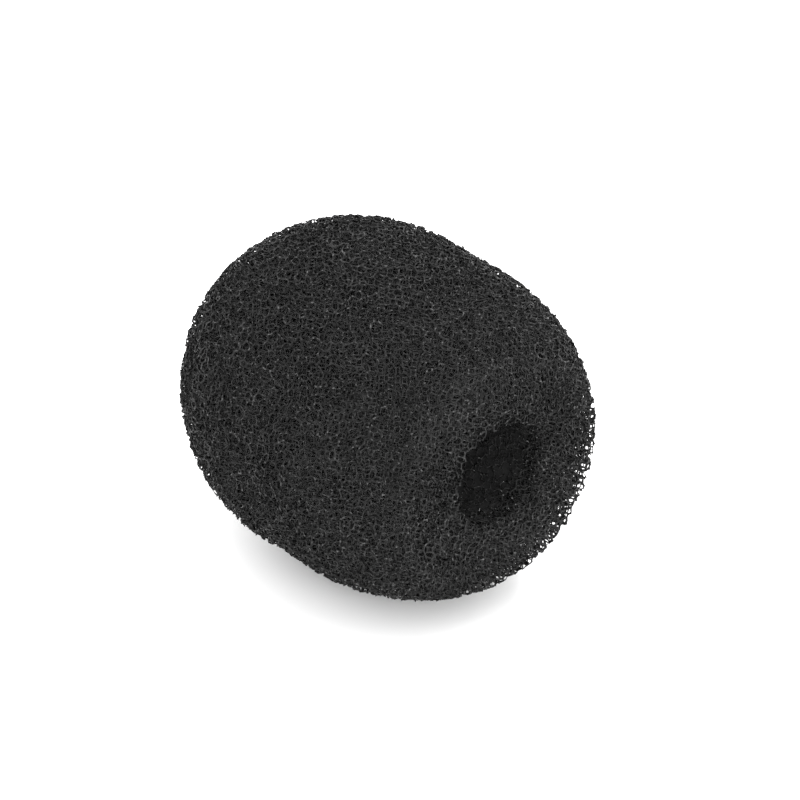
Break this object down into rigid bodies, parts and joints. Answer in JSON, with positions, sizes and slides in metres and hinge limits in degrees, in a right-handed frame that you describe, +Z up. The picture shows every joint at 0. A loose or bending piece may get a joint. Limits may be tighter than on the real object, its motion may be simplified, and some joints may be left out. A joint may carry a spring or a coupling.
{
  "type": "foam microphone windscreen",
  "caption": "Egg-shaped black open-cell foam windscreen for a small microphone, with a flat mouth face and a round blind bore that the microphone pushes into.",
  "frame": {"origin": "The middle of the blind bore's flat end, where the front of the microphone stops.", "axes": "+X runs along the bore, out of the mouth; +Z is up with the windscreen lying on its side; +Y completes the right-handed frame."},
  "size_m": [0.0289, 0.0256, 0.0256],
  "materials": {
    "foam": "dull black open-cell polyurethane foam, ground surface with open pores"
  },
  "bodies": {
    "root": {"foam_body": "foam"}
  },
  "joints": []
}
